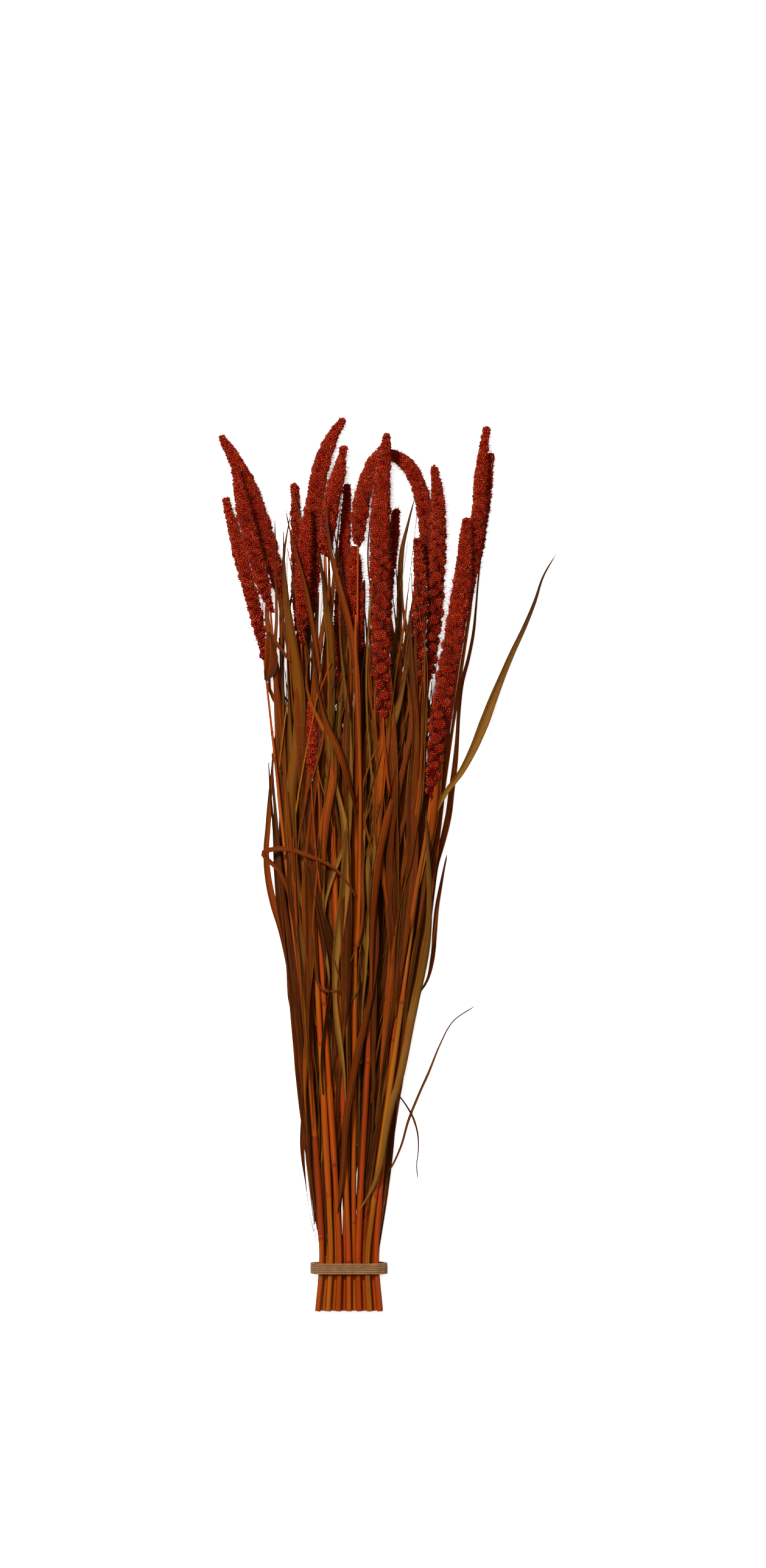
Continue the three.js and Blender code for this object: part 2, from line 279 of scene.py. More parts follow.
def around(line, radius, sides):
    """How far round and along a round piece each of its points is, for the grain of its material."""
    turn = np.arange(sides) / sides * 2 * math.pi
    far = np.repeat(lengths(line)[:, None], sides, 1)
    radius = np.broadcast_to(np.asarray(radius, float).reshape(len(line), -1), (len(line), sides))
    return np.stack((np.cos(turn) * radius, np.sin(turn) * radius, far), -1).reshape(-1, 3)


# Materials


class Wire:
    """A shader value. Arithmetic on it adds Math nodes."""

    def __init__(self, paint, socket):
        self.paint = paint
        self.socket = socket

    def math(self, operation, *values):
        return self.paint.node("ShaderNodeMath", {"operation": operation}, enumerate(values))

    def __add__(self, other):
        return self.math("ADD", self, other)

    def __sub__(self, other):
        return self.math("SUBTRACT", self, other)

    def __rsub__(self, other):
        return self.math("SUBTRACT", other, self)

    def __mul__(self, other):
        return self.math("MULTIPLY", self, other)

    def __gt__(self, other):
        return self.math("GREATER_THAN", self, other)

    def __abs__(self):
        return self.math("ABSOLUTE", self)

    __radd__ = __add__
    __rmul__ = __mul__

    def within(self, low, high):
        """Goes smoothly from 0 at low to 1 at high."""
        sockets = {"Value": self, "From Min": low, "From Max": high}
        return self.paint.node("ShaderNodeMapRange", {"interpolation_type": "SMOOTHSTEP"}, sockets)


class Paint:
    """The nodes of one material."""

    def __init__(self, name, constants):
        self.material = bpy.data.materials.new(name)
        self.material.use_nodes = True
        self.tree = self.material.node_tree
        self.shader = self.tree.nodes["Principled BSDF"]
        for key, value in constants.items():
            self.shader.inputs[key].default_value = value

    def node(self, kind, settings=None, sockets=(), output=0):
        """Adds a node: its settings first, then the values or links of its sockets."""
        made = self.tree.nodes.new(kind)
        for key, value in (settings or {}).items():
            if key == "stops":
                self.set_stops(made.color_ramp.elements, value)
            else:
                setattr(made, key, value)
        for key, value in dict(sockets).items():
            self.feed(made.inputs[key], value)
        return Wire(self, made.outputs[output])

    def feed(self, socket, value):
        """Links a shader value to a socket, or sets the socket to a plain one."""
        if isinstance(value, Wire):
            self.tree.links.new(value.socket, socket)
        else:
            socket.default_value = value

    @staticmethod
    def set_stops(elements, stops):
        while len(elements) < len(stops):
            elements.new(1)
        for element, (place, colour) in zip(elements, stops):
            element.position = place
            element.color = (*colour, 1)

    def place(self):
        return self.node("ShaderNodeTexCoord", output="Object")

    def value(self, name):
        return self.node("ShaderNodeAttribute", {"attribute_name": name}, output="Fac")

    def vector(self, name):
        return self.node("ShaderNodeAttribute", {"attribute_name": name}, output="Vector")

    def part(self, vector, axis):
        return self.node("ShaderNodeSeparateXYZ", None, {"Vector": vector}, output=axis)

    def stretched(self, vector, scale):
        return self.node("ShaderNodeVectorMath", {"operation": "MULTIPLY"}, {0: vector, 1: scale})

    def noise(self, vector, scale, detail=2.0):
        return self.node("ShaderNodeTexNoise", None, {"Vector": vector, "Scale": scale, "Detail": detail})

    def ramp(self, value, *stops):
        return self.node("ShaderNodeValToRGB", {"stops": stops}, {"Fac": value})

    def mix(self, share, first, second):
        first, second = (tone if isinstance(tone, Wire) else (*tone, 1) for tone in (first, second))
        return self.node("ShaderNodeMix", {"data_type": "RGBA"}, {0: share, 6: first, 7: second}, output=2)

    def bump(self, height, strength, distance):
        sockets = {"Height": height, "Strength": strength, "Distance": distance}
        return self.node("ShaderNodeBump", None, sockets, output="Normal")

    def finish(self, **wires):
        """Feeds the shader's sockets, and gives the material."""
        for key, wire in wires.items():
            self.feed(self.shader.inputs[key.replace("_", " ").title()], wire)
        return self.material


def seed_paint(s):
    """Dyed grain: each grain its own glossy red, with painted shade down between the clusters and on their
    flanks.
    """
    paint = Paint("dyed_grain", {"Specular IOR Level": 0.75, "Specular Tint": (1.0, 0.56, 0.36, 1.0)})
    lit = paint.ramp(paint.value("tone"), (0.0, s.dark), (0.5, s.red), (1.0, s.light))
    mottle = paint.noise(paint.place(), 700)
    speckled = paint.mix(mottle.within(0.45, 0.8) * 0.35, lit, s.light)
    return paint.finish(
        # The grains are mixed towards the painted shade colour down between the clusters and on their
        # flanks.
        base_color=paint.mix(paint.value("depth"), s.painted_shade, speckled),
        roughness=0.13 + 0.08 * mottle,
    )


def bristle_paint(s):
    """Fine bristles, paler to their tips."""
    paint = Paint("bristle", {"Roughness": 0.6, "Specular IOR Level": 0.0})
    return paint.finish(base_color=paint.mix(paint.value("depth"), s.red, s.bristle))


def rachis_paint(s):
    """The core that carries the clusters, and the bodies under their grains: dark between them, painted
    shade.
    """
    paint = Paint("head_core", {"Roughness": 0.8, "Specular IOR Level": 0.0})
    grain = paint.noise(paint.place(), 400)
    return paint.finish(base_color=paint.mix(grain, s.painted_shade, s.dark))


def straw_paint(s):
    """Dry stems: fine streaks along them, a dark ring at each node and a redder stretch above it."""
    paint = Paint("straw", {"Specular IOR Level": 0.08})
    grain = paint.vector("grain")
    tint = paint.vector("tint")
    hue = paint.ramp(paint.part(tint, 0), (0.0, s.brown), (0.35, s.orange), (0.7, s.amber), (1.0, s.ochre))
    streak = paint.noise(paint.stretched(grain, (1100, 1100, 9)), 1.0, 4.0)
    blotch = paint.noise(paint.stretched(grain, (120, 120, 30)), 1.0, 3.0)
    worn = paint.mix(streak.within(0.4, 0.7) * 0.75, hue, s.brown)
    rusty = paint.mix(blotch.within(0.5, 0.75) * 0.5, worn, s.rust)
    flushed = paint.mix(paint.part(tint, 2) * 0.7, rusty, s.rust)
    ringed = paint.mix(paint.value("ring").within(0.35, 0.9) * 0.55, flushed, s.node)
    return paint.finish(
        base_color=ringed,
        roughness=0.34 + 0.28 * streak,
        normal=paint.bump(streak, 0.35, 0.0004),
    )


def leaf_paint(s):
    """Dry leaves: veins along the blade, a paler midrib, blotches, painted shade towards one edge, a
    painted highlight along both edges, and a darker tip.
    """
    paint = Paint("dry_leaf", {"Specular IOR Level": 0.03})
    blade = paint.vector("blade")
    tint = paint.vector("tint")
    across = paint.part(blade, 0)
    share = paint.part(blade, 2)
    hue = paint.ramp(
        paint.part(tint, 0),
        (0.0, s.umber),
        (0.25, s.brown),
        (0.45, s.russet),
        (0.6, s.amber),
        (0.75, s.olive),
        (1.0, s.gold),
    )
    spread = paint.node("ShaderNodeVectorMath", {"operation": "ADD"}, {0: blade, 1: tint})
    veins = paint.noise(paint.stretched(spread, (2400, 6, 0)), 1.0, 3.0)
    blotch = paint.noise(paint.stretched(spread, (120, 28, 0)), 1.0, 4.0)
    lined = paint.mix(veins.within(0.35, 0.8) * 0.4, hue, s.umber)
    sunned = paint.mix(blotch.within(0.5, 0.72) * 0.5, lined, s.russet)
    bleached = paint.mix(blotch.within(0.5, 0.25) * 0.4, sunned, s.olive)
    rib = 1 - abs(across).within(0.0001, 0.0005)
    ribbed = paint.mix(rib * 0.2, bleached, s.gold)
    # Painted shade: each blade is darker towards one of its edges, as if it curved away from the light.
    side = paint.value("side")
    turned_away = side * (2 * (paint.part(tint, 2) > 0.5) - 1)
    painted_edge_shade = paint.mix(turned_away.within(-0.3, 1.0) * 0.6, ribbed, s.umber)
    # Painted highlight: both edges of each blade are paler, as where they catch the light.
    painted_edge_light = paint.mix(abs(side).within(0.75, 1.0) * 0.2, painted_edge_shade, s.gold)
    tipped = paint.mix(share.within(0.68, 1.0) * 0.75, painted_edge_light, s.tip)
    # The tint's second channel darkens a blade towards umber: a random tone and the withering on the large
    # leaves, and painted shade on the small leaves that lie deep in the bunch.
    withered_and_shaded = paint.mix(paint.part(tint, 1), tipped, s.umber)
    return paint.finish(
        base_color=withered_and_shaded,
        roughness=0.42 + 0.3 * blotch,
        normal=paint.bump(veins + rib, 0.35, 0.0004),
    )


def twine_paint(s):
    """Natural twine: fibres along each turn."""
    paint = Paint("twine", {"Specular IOR Level": 0.3})
    grain = paint.vector("grain")
    fibre = paint.noise(paint.stretched(grain, (2500, 2500, 180)), 1.0, 3.0)
    return paint.finish(
        base_color=paint.mix(fibre.within(0.3, 0.7), s.shade, s.fibre),
        roughness=0.85,
        normal=paint.bump(fibre, 0.5, 0.0004),
    )


# Settings


def number(name, description, default, **more):
    return FloatProperty(name=name, description=description, default=default, min=0, **more)


def metres(name, description, default):
    return number(name, description, default, unit="LENGTH", precision=5)


def colour(name, description, default):
    return FloatVectorProperty(
        name=name, description=description, default=default, subtype="COLOR", size=3, min=0, max=1
    )


class MilletHeadSettings(bpy.types.PropertyGroup):
    grain: metres("Grain", "Diameter of one grain", 0.0019)
    cluster: metres("Cluster pitch", "From cluster to cluster in the middle of the ripest heads", 0.0074)
    bristle_length: metres("Bristle length", "Length of a bristle", 0.0046)
    bristle_share: number("Bristles", "Share of the grains at a head's sides that have one", 0.7, max=1)
    red: colour("Red", "Most of the grains", (0.165, 0.0052, 0.0006))
    light: colour("Light red", "The palest grains", (0.255, 0.0165, 0.0026))
    dark: colour("Dark red", "The darkest grains", (0.100, 0.0015, 0.0004))
    # Painted shade: the colour that the grains and the core are given down between the clusters.
    painted_shade: colour("Deep", "Down between the clusters", (0.040, 0.0010, 0.0004))
    bristle: colour("Bristle", "The tips of the bristles", (0.19, 0.042, 0.022))


class MilletStemSettings(bpy.types.PropertyGroup):
    internode: metres("Internode", "From node to node along a stem", 0.125)
    swelling: number("Swelling", "How much a node is thicker than its stem", 0.2, max=1)
    sheath: metres("Sheath", "Thickness of the leaf sheath above a node", 0.0004)
    orange: colour("Orange", "Dyed stems", (0.235, 0.026, 0.0010))
    amber: colour("Amber", "Paler stems", (0.28, 0.061, 0.0020))
    ochre: colour("Ochre", "The palest stems", (0.24, 0.081, 0.0033))
    brown: colour("Brown", "The darkest stems and the streaks", (0.09, 0.014, 0.0010))
    rust: colour("Rust", "The flush above a node", (0.26, 0.022, 0.0020))
    node: colour("Node", "The ring at a node", (0.045, 0.008, 0.002))


class MilletLeafSettings(bpy.types.PropertyGroup):
    thickness: metres("Thickness", "Thickness of a blade", 0.0003)
    seed: IntProperty(name="Seed", description="Varies the small leaves", default=7, min=0)
    # Umber is also the colour of the leaves' painted shade.
    umber: colour("Umber", "The darkest leaves and the veins", (0.020, 0.0035, 0.0005))
    brown: colour("Brown", "Most of the leaves", (0.092, 0.0148, 0.0009))
    russet: colour("Russet", "The redder leaves and blotches", (0.150, 0.0205, 0.0012))
    amber: colour("Amber", "The brightest strips", (0.26, 0.042, 0.0018))
    olive: colour("Olive", "The greener leaves", (0.118, 0.034, 0.0016))
    # Gold is also the colour of the painted highlight along the leaves' edges.
    gold: colour("Gold", "The palest leaves and the midribs", (0.20, 0.090, 0.0120))
    tip: colour("Tip", "The withered tips", (0.035, 0.011, 0.004))


class MilletTieSettings(bpy.types.PropertyGroup):
    turns: IntProperty(name="Turns", description="Turns of twine round the stems", default=6, min=1)
    fibre: colour("Fibre", "The twine", (0.26, 0.13, 0.050))
    shade: colour("Shade", "Between its fibres", (0.11, 0.050, 0.018))


class MilletStageSettings(bpy.types.PropertyGroup):
    floor: colour("Floor", "The floor", (0.93, 0.93, 0.93))
    glow: number("Glow", "Light that comes from the floor itself", 0.7)
    camera_height: metres("Camera height", "Height of the camera over the floor", 4.9)
    ambient: number("Ambient", "Strength of the light from all round", 0.15)
    softbox: number("Softbox", "Power of the light overhead", 150, unit="POWER")
    key: number("Key", "Power of the light aside", 130, unit="POWER")


SETTINGS = {
    "millet_heads": MilletHeadSettings,
    "millet_stems": MilletStemSettings,
    "millet_leaves": MilletLeafSettings,
    "millet_tie": MilletTieSettings,
    "millet_stage": MilletStageSettings,
}


# Seed heads


# The head with the finest grains.
YOUNG_HEAD = "seed_head_19"

# The ripest heads, whose clusters stand apart.
LUMPY_HEADS = ("seed_head_10", "seed_head_13", "seed_head_14", "seed_head_17")

# The heads that are broad down to their bases.
BROAD_HEADS = (*LUMPY_HEADS, "seed_head_07", "seed_head_11", "seed_head_20")

# How wide a head is at its foot at least, by its greatest width.
FOOT_WIDTH = 0.5
BROAD_FOOT_WIDTH = 0.78

# A head's pitch from cluster to cluster and its spacing of grains, by the settings, and how big its
# clusters are, by what their pitch gives.
PLAIN_HEAD = (0.75, 1.0, 1.16)
OTHER_HEADS = {YOUNG_HEAD: (0.55, 0.85, 1.16), **dict.fromkeys(LUMPY_HEADS, (1.0, 1.0, 1.0))}

# From the base of a head to its tip: how far apart its clusters are and how big, by their pitch.
ALONG_HEAD = (0, 0.5, 0.8, 1)
CLUSTER_GAPS = (1.1, 1.04, 0.74, 0.52)
CLUSTER_SIZES = (0.57, 0.62, 0.72, 0.84)

# The least radius of a cluster and of the ring that clusters stand on, and the radius of a head at which
# they have their full pitch.
LEAST_CLUSTER = 0.0019
LEAST_RING = 0.0018
FULL_HEAD = 0.0075

# The room that each of many close-set round things takes up, by the square of the distance between them.
CLOSE_SET = 0.866

# How far a grain stands out of its cluster, and how far apart grains are, by their size.
GRAIN_STANDS_OUT = 0.0007
GRAIN_SPACING = 0.95

# Clusters that face down more steeply than this lie on the floor. Their grains are coarse: wider apart and
# bigger, by the size of the others.
UNDERSIDE = -0.55
COARSE_SPACING = 1.5
COARSE_GRAIN = 1.6

# The least radius of a head's core, the points round it, and which points of the head's line it has.
LEAST_CORE = 0.0015
CORE_SIDES = 10
CORE_EVERY = 4

# A bristle's radius at its foot. Few grains that face up have one, by the share of the others.
BRISTLE_FOOT = 0.00027
BRISTLES_ON_TOP = 0.06

# The places of a head's materials.
GRAIN, BRISTLE, CORE = range(3)


def dome():
    """A grain without its hidden foot: a top and two rings of five points, the top along Z."""
    wide, high = 0.894, 0.447
    turn = np.arange(5) / 5 * 2 * math.pi
    points = [(0, 0, 1)]
    points += [(wide * math.cos(a), wide * math.sin(a), high) for a in turn]
    points += [(wide * math.cos(a), wide * math.sin(a), -high) for a in turn + math.pi / 5]
    faces = []
    for i in range(5):
        j = (i + 1) % 5
        faces += [(0, 1 + i, 1 + j), (1 + i, 6 + i, 1 + j), (1 + j, 6 + i, 6 + j)]
    return np.array(points), np.array(faces)


def ball_directions(count):
    """Directions spread evenly over a ball."""
    i = np.arange(count) + 0.5
    height = 1 - 2 * i / count
    ring = np.sqrt(1 - height * height)
    turn = GOLDEN_ANGLE * np.arange(count)
    return np.stack((ring * np.cos(turn), ring * np.sin(turn), height), -1)


def clusters(line, radius, pitch, bulge, rng):
    """The round clusters of a head, in the spiral they grow in: centres, outward directions and radii.
    They stand apart at the base and run together to the tip."""
    along, aside, above = directions(line)
    far = lengths(line)
    centres, outs, sizes = [], [], []
    at, turn = 0.0, rng.uniform(0, 2 * math.pi)
    while at < far[-1]:
        share = at / far[-1]
        thick = np.interp(at, far, radius)
        apart = pitch * np.interp(share, ALONG_HEAD, CLUSTER_GAPS)
        apart = apart * (0.5 + 0.5 * min(1, thick / FULL_HEAD))
        size = apart * np.interp(share, ALONG_HEAD, CLUSTER_SIZES) * bulge * rng.uniform(0.8, 1.18)
        size = min(size, max(0.6 * thick, LEAST_CLUSTER))
        i = min(np.searchsorted(far, at), len(far) - 1)
        out = math.cos(turn) * aside[i] + math.sin(turn) * above[i]
        reach = max(thick - size - GRAIN_STANDS_OUT, 0.45 * size) + rng.normal(0, 0.0004)
        centres.append(line[i] + out * reach)
        outs.append(unit(out + along[i] * (0.25 + 0.9 * ease(share, 0.94, 1.0))))
        sizes.append(size)
        girth = 2 * math.pi * max(thick - size, LEAST_RING)
        at += CLOSE_SET * apart * apart / girth
        turn += GOLDEN_ANGLE + rng.normal(0, 0.12)
    return np.array(centres), np.array(outs), np.array(sizes)


def grains(centres, outs, sizes, grain, rng):
    """The grains on the open sides of the clusters: their places, outward directions and clusters."""
    places, ways, owners = [], [], []
    for k, (centre, out, size) in enumerate(zip(centres, outs, sizes)):
        spacing = grain * (COARSE_SPACING if out[2] < UNDERSIDE else GRAIN_SPACING)
        count = max(8, round(4 * math.pi * size**2 / (CLOSE_SET * spacing**2)))
        spun = ball_directions(count) @ turned(rng)
        open_side = spun[spun @ out > -0.05]
        places.append(centre + open_side * size)
        ways.append(open_side)
        owners.append(np.full(len(open_side), k))
    places, ways, owners = np.concatenate(places), np.concatenate(ways), np.concatenate(owners)
    kept = np.ones(len(places), bool)
    batch = 2000
    for first in range(0, len(places), batch):
        part = slice(first, first + batch)
        gap = np.linalg.norm(places[part, None] - centres[None], axis=2) / sizes
        gap[np.arange(gap.shape[0]), owners[part]] = math.inf
        kept[part] = gap.min(1) > 0.95
    return places[kept], ways[kept], owners[kept]


def turned(rng):
    """A random rotation."""
    matrix, _ = np.linalg.qr(rng.normal(size=(3, 3)))
    return matrix


def crosswise(ways, rng):
    """Two directions across each of some directions, turned at random about it."""
    first = unit(np.cross(ways, unit(rng.normal(size=ways.shape))))
    return first, np.cross(ways, first)


def add_copies(shape, copies, faces, paint, **values):
    """Adds many copies of one small mesh, each with its own points."""
    index = np.arange(len(copies))[:, None, None] * copies.shape[1] + faces[None]
    shape.add(copies.reshape(-1, 3), index.reshape(-1, 3), paint, **values)


def add_domes(shape, places, ways, size, tone, depth, rng, paint=GRAIN):
    """Adds a dome at each place, each of a slightly different size."""
    points, faces = dome()
    first, second = crosswise(ways, rng)
    radius = size / 2 * rng.uniform(0.92, 1.08, len(places))
    axes = np.stack((first, second, ways * 1.12), 1)
    domes = places[:, None] + (points @ axes) * radius[:, None, None]
    tone, depth = (np.repeat(value, len(points)) for value in (tone, depth))
    add_copies(shape, domes, faces, paint, tone=tone, depth=depth)


def add_bristles(shape, s, places, ways, along, rng):
    """Adds thin spikes of three faces each on some of the grains, most of them at the head's sides."""
    share = s.bristle_share * np.where(ways[:, 2] > 0.5, BRISTLES_ON_TOP, 1.0)
    picked = (rng.random(len(places)) < share) & (ways[:, 2] > -0.4)
    ways = unit(ways[picked] + along[picked] * 0.25 + rng.normal(0, 0.2, (picked.sum(), 3)))
    reach = s.bristle_length * rng.uniform(0.6, 1.15, picked.sum())
    places = places[picked]
    clear = places[:, 2] + ways[:, 2] * reach > 0
    places, ways, reach = places[clear], ways[clear], reach[clear]
    first, second = crosswise(ways, rng)
    turn = np.arange(3) / 3 * 2 * math.pi
    foot = np.cos(turn)[:, None] * first[:, None] + np.sin(turn)[:, None] * second[:, None]
    tips = places + ways * reach[:, None]
    spikes = np.concatenate((places[:, None] + foot * BRISTLE_FOOT, tips[:, None]), 1)
    faces = np.array(((0, 1, 3), (1, 2, 3), (2, 0, 3)))
    paler = np.tile((0.3, 0.3, 0.3, 1.0), len(places))
    add_copies(shape, spikes, faces, BRISTLE, tone=0.5, depth=paler)


def head_shape(s, node, rng):
    """A seed head: its core, its clusters of grains, and its bristles."""
    pitch, spacing, bulge = OTHER_HEADS.get(node, PLAIN_HEAD)
    line, radius = spine(node, HEAD_STEP)
    share = np.linspace(0, 1, len(line))
    foot = ease(share, -0.05, 0.05) * (1 - ease(share, 0.4, 0.6))
    foot_radius = radius.max() * (BROAD_FOOT_WIDTH if node in BROAD_HEADS else FOOT_WIDTH)
    radius = np.maximum(radius, foot_radius * foot)
    centres, outs, sizes = clusters(line, radius, s.cluster * pitch, bulge, rng)
    places, ways, owners = grains(centres, outs, sizes, s.grain * spacing, rng)
    every = 6
    nearest = np.linalg.norm(places[:, None, :2] - line[None, ::every, :2], axis=2).argmin(1) * every
    out = np.linalg.norm(places - line[nearest], axis=1) / radius[nearest]
    spread = rng.normal(0, 0.22, len(places)) + rng.normal(0, 0.12, len(sizes))[owners]
    tone = np.clip(0.5 + spread, 0, 1)
    shape = Shape()
    # The core and the dark bodies under the clusters' grains take the core material, painted in the deep
    # red of the shade down between the grains.
    core = np.maximum(radius[::CORE_EVERY] * 0.45, LEAST_CORE)
    skin(shape, round_rings(line[::CORE_EVERY], core, CORE_SIDES), CORE, tone=0.5, depth=0.0)
    dark = np.zeros(len(sizes))
    add_domes(shape, centres, outs, sizes * 1.8, dark, dark, rng, CORE)
    # Painted shade: grains that face away from their cluster's outside, or lie near the head's middle, are
    # painted darker. On the ripest heads more grains are darkened towards the base, so their clusters look
    # parted.
    facing = (ways * outs[owners]).sum(1)
    flank_shade = 0.15 * (node in LUMPY_HEADS) * (1 - ease(share[nearest], 0.4, 0.8))
    in_light = ease(facing, flank_shade - 0.1, flank_shade + 0.55) * ease(out, 0.5, 0.9)
    bulk = s.grain * np.where(outs[owners, 2] < UNDERSIDE, COARSE_GRAIN, 1.0)
    add_domes(shape, places, ways, bulk, tone, in_light, rng)
    add_bristles(shape, s, places, ways, directions(line)[0][nearest], rng)
    return shape


class MILLET_OT_heads(bpy.types.Operator):
    """Makes the seed heads: a core, clusters of grains round it, and bristles"""

    bl_idname = "millet.heads"
    bl_label = "Seed heads"

    def execute(self, context):
        s = context.scene.millet_heads
        materials = [seed_paint(s), bristle_paint(s), rachis_paint(s)]
        for number, node in enumerate(HEADS):
            shape = head_shape(s, node, np.random.default_rng(HEAD_SEED + number))
            shape.piece(f"millet_head_{number + 1:02d}", "seeds", materials, [node])
        return {"FINISHED"}


# Stems


# Hues of the stems that lie in sight, from 0 for brown over orange and amber to 1 for ochre, and the hue of
# every stem at its neck.
STEM_HUES = {
    "stem_02": 0.5,
    "stem_07": 0.55,
    "stem_08": 0.75,
    "stem_10": 0.38,
    "stem_14": 0.4,
    "stem_17": 0.9,
    "stem_19": 0.42,
    "stem_20": 0.58,
}
NECK_HUE = 0.38

# Stems without sheaths, which the small leaves in front of them leave in sight.
SHOWN_STEMS = ("stem_20", "stem_17")

# How far a node's dark ring, its swelling and the flush above it reach along its stem.
RING_REACH = 0.0022
SWELLING_REACH = 0.0026
FLUSH_REACH = 0.035

# Points round a stem, a sheath or a stalk.
STRAW_SIDES = 8

# The thin stalks that lie over the leaves: hue, radius, places across and places along.
FRONT_STALKS = (
    (1.0, 0.0007, (-0.0534, -0.0592, -0.0717, -0.0767), (0.1717, 0.1300, 0.0700, 0.0334)),
    (
        0.55,
        0.0014,
        (-0.0264, -0.0272, -0.0259, -0.0242, -0.0226, -0.0231, -0.0237, -0.0251),
        (0.2034, 0.1834, 0.1434, 0.1134, 0.0667, 0.0267, -0.0316, -0.0666),
    ),
    (0.38, 0.0011, (-0.0047, -0.0034, -0.0009, 0.0013), (0.1275, 0.1000, 0.0734, 0.0550)),
    (
        0.65,
        0.0015,
        (0.0358, 0.0324, 0.0299, 0.0249, 0.0208, 0.0174),
        (0.0550, 0.0350, 0.0184, -0.0066, -0.0316, -0.0566),
    ),
    (1.0, 0.0006, (-0.0826, -0.0876, -0.0892), (0.1317, 0.0934, 0.0767)),
    (0.35, 0.0009, (-0.0784, -0.0767, -0.0759, -0.0742), (0.0300, 0.0017, -0.0316, -0.0566)),
    (0.42, 0.0007, (-0.0634, -0.0617, -0.0584, -0.0542), (0.0734, 0.0434, 0.0017, -0.0316)),
    (0.4, 0.0007, (-0.0459, -0.0534, -0.0592), (0.1684, 0.1484, 0.1317)),
)

# How high the stalks lie over the front stems, and how far their ends go down between the leaves.
STALK_LIFT = 0.0062
STALK_TUCK = 0.007


def stem_layers():
    """The stems of each layer, the lowest layer first, as their lines and radii."""
    layers = {}
    for node in STEMS:
        line, radius = spine(node, LAYER_STEP)
        layers.setdefault(round(line[0][2], 3), []).append((line, radius))
    return [layers[height] for height in sorted(layers)]


def stem_tops(stems, y):
    """How high a layer of stems reaches at some places along the bunch."""
    return np.mean([np.interp(y, line[:, 1], line[:, 2] + radius) for line, radius in stems], 0)


def add_straw(shape, line, radius, tint, ring, shift):
    """Adds a round length of straw. The shift sets its streaks off from those of other lengths."""
    grain = around(line, radius, STRAW_SIDES) + shift
    skin(shape, round_rings(line, radius, STRAW_SIDES), grain=grain, tint=tint, ring=ring)


class MILLET_OT_stems(bpy.types.Operator):
    """Makes the stems, with rings and leaf sheaths at their nodes, and the stalks over the leaves"""

    bl_idname = "millet.stems"
    bl_label = "Stems"

    def execute(self, context):
        s = context.scene.millet_stems
        material = straw_paint(s)
        for number, node in enumerate(STEMS):
            shape = Shape()
            self.add_stem(shape, s, node, np.random.default_rng(STEM_SEED + number))
            shape.piece(f"millet_stem_{number + 1:02d}", "straw", [material], [node])
        front = stem_layers()[-1]
        stalks = Shape()
        for hue, radius, across, along in FRONT_STALKS:
            self.add_stalk(stalks, front, hue, radius, across, along)
        stalks.piece("front_stalks", "straw", [material])
        return {"FINISHED"}

    @classmethod
    def add_stem(cls, shape, s, node, rng):
        """A stem, swollen at its nodes and thinner to its neck, with its sheaths."""
        line, radius = spine(node, STEM_STEP)
        far = lengths(line)
        share = far / far[-1]
        nodes = np.arange(s.internode * rng.uniform(0.35, 0.9), far[-1] * 0.92, s.internode)
        nodes = nodes + rng.uniform(-0.02, 0.02, len(nodes))
        above = far[:, None] - nodes[None]
        away = np.abs(above).min(1)
        ring = np.exp(-((away / RING_REACH) ** 2))
        flush = np.where((above > 0) & (above < FLUSH_REACH), 1 - above / FLUSH_REACH, 0).max(1)
        tone = STEM_HUES.get(node, rng.uniform(0.25, 0.7))
        hue = np.interp(share, (0, 0.75, 1), (tone, tone, NECK_HUE))
        tint = np.stack((hue, np.full(len(far), rng.random()), flush), -1)
        radius = radius * np.interp(share, (0, 0.6, 0.85, 1), (1, 1, 0.8, 0.72))
        thick = radius * (1 + s.swelling * np.exp(-((away / SWELLING_REACH) ** 2)))
        add_straw(shape, line, thick, tint, ring, rng.random(3))
        sheathed = nodes[rng.random(len(nodes)) < (0.0 if node in SHOWN_STEMS else 0.75)]
        for start in sheathed:
            cls.add_sheath(shape, s, line, radius, far, start, rng)

    @staticmethod
    def add_sheath(shape, s, line, radius, far, start, rng):
        """A leaf's sheath, wrapped round the stem from a node upwards."""
        end = start + s.internode * rng.uniform(0.45, 0.75)
        inside = (far > start) & (far < end)
        if inside.sum() < 6:
            return
        share = (far[inside] - start) / (end - start)
        thick = radius[inside] + s.sheath * np.minimum(1, 12 * (1 - share)) * np.minimum(1, 12 * share)
        hue = np.full(len(share), rng.uniform(0.0, 0.75))
        tint = np.stack((hue, np.full(len(share), rng.random()), 0.5 * (1 - share)), -1)
        add_straw(shape, line[inside], thick, tint, 0.25 * ease(share, 0.9, 1.0), rng.random(3))

    @staticmethod
    def add_stalk(shape, front, hue, radius, across, along):
        """A thin stalk over the leaves, with both ends tucked in between them."""
        share = np.linspace(0, 1, 40)
        x, y = (np.interp(share, np.linspace(0, 1, len(places)), places) for places in (across, along))
        for _ in range(12):
            x[1:-1] = (x[:-2] + 2 * x[1:-1] + x[2:]) / 4
        tucked = 1 - ease(share, 0, 0.12) * (1 - ease(share, 0.85, 1))
        z = stem_tops(front, y) + STALK_LIFT - STALK_TUCK * tucked
        tint = np.broadcast_to((hue, hue, 0.0), (len(x), 3))
        add_straw(shape, np.stack((x, y, z), -1), radius * (0.8 + 0.35 * share), tint, 0.0, 0.0)


# Leaves


# Waves at a blade's edges: height by half width, length, and how steeply they grow outwards.
RIPPLES = ((0.12, 0.011, 3), (0.08, 0.019, 2))

# Points across each face of a blade.
BLADE_POINTS = 5

